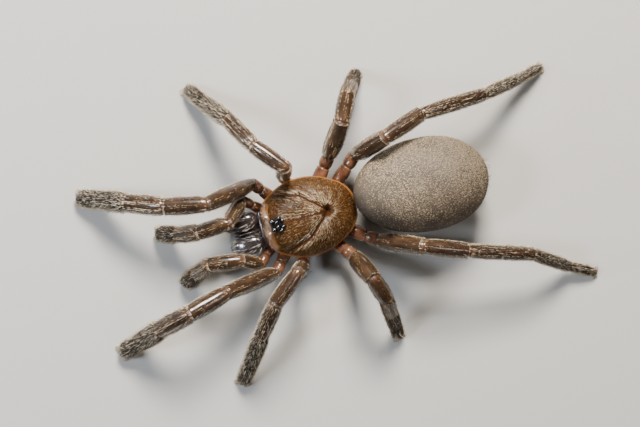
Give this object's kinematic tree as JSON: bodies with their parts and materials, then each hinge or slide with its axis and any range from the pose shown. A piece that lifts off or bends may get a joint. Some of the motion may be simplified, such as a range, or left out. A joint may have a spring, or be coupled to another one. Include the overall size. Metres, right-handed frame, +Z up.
{
  "type": "trapdoor spider",
  "caption": "Life-size trapdoor spider, standing still on its feet with its front legs reaching ahead.",
  "frame": {"origin": "on the floor, at the centre of the bounding box of the whole animal", "axes": "+Z up, -Y ahead of the spider, +X to its left"},
  "size_m": [0.0287, 0.0466, 0.0084],
  "materials": {
    "carapace": "satin golden brown shield with short golden hair",
    "abdomen": "velvety short grey-brown pile",
    "legs": "glossy red-brown with hairy outer articles",
    "jaws": "dark brown, partly haired",
    "fangs": "polished black-brown",
    "eyes": "polished black",
    "waist": "pale soft membrane"
  },
  "bodies": {
    "root": {"abdomen": "abdomen", "carapace": "carapace", "chelicera_left": "jaws", "chelicera_right": "jaws", "eye_anterior_lateral_left": "eyes", "eye_anterior_lateral_right": "eyes", "eye_anterior_median_left": "eyes", "eye_anterior_median_right": "eyes", "eye_posterior_lateral_left": "eyes", "eye_posterior_lateral_right": "eyes", "eye_posterior_median_left": "eyes", "eye_posterior_median_right": "eyes", "fang_left": "fangs", "fang_right": "fangs", "leg_1_left": "legs", "leg_1_right": "legs", "leg_2_left": "legs", "leg_2_right": "legs", "leg_3_left": "legs", "leg_3_right": "legs", "leg_4_left": "legs", "leg_4_right": "legs", "palp_left": "legs", "palp_right": "legs", "pedicel": "waist", "spinneret_left": "abdomen", "spinneret_right": "abdomen", "sternum": "legs"}
  },
  "joints": []
}
